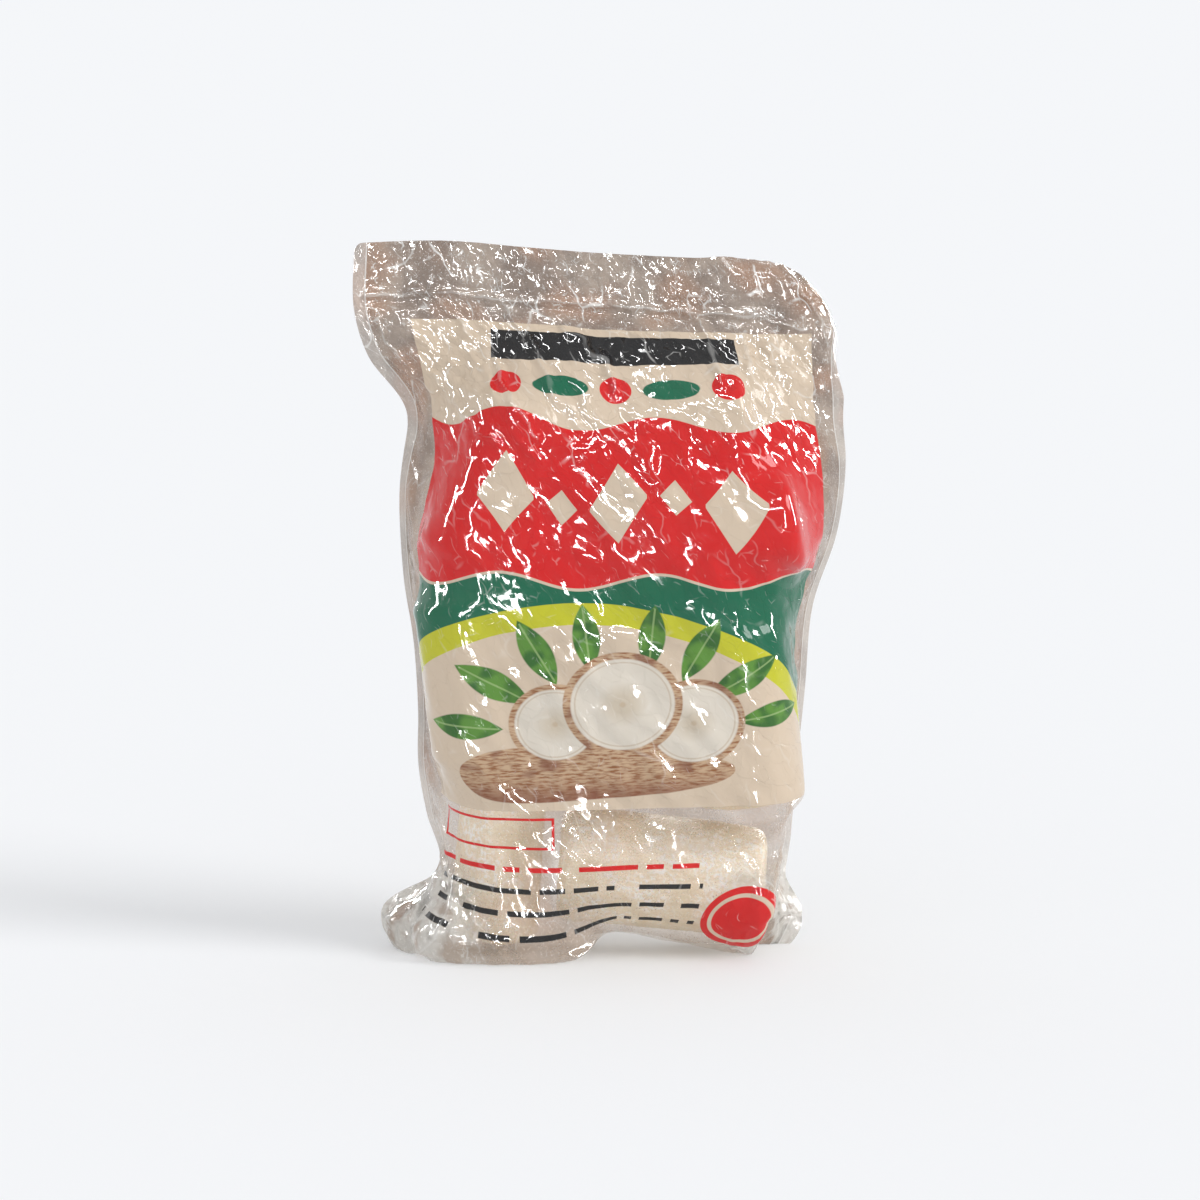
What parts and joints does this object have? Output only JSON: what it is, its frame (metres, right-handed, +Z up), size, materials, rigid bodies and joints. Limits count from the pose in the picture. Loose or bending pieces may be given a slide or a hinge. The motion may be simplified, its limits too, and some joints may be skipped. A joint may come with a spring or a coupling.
{
  "type": "bag of frozen cassava root",
  "caption": "Upright clear film bag, welded at its edges and crinkled tight over cut lengths of peeled, frosted cassava root, with a plain coloured print panel on its front.",
  "frame": {"origin": "middle of the bag's outline, on the surface it stands on", "axes": "+Z up the bag from its foot to its flat top, -Y out of the printed front, +X to the right as the front is seen"},
  "size_m": [0.2072, 0.0634, 0.3001],
  "materials": {
    "printed_film": "thin glossy clear film, crinkled, printed on most of its face",
    "clear_film": "thin glossy clear film, crinkled and frosted from inside",
    "root_flesh": "matte peeled root flesh with a light frost"
  },
  "bodies": {
    "root": {"front_film": "printed_film", "back_film": "clear_film", "root_piece_1": "root_flesh", "root_piece_2": "root_flesh", "root_piece_3": "root_flesh", "root_piece_4": "root_flesh", "root_piece_5": "root_flesh", "root_piece_6": "root_flesh", "root_piece_7": "root_flesh", "root_piece_8": "root_flesh"}
  },
  "joints": []
}
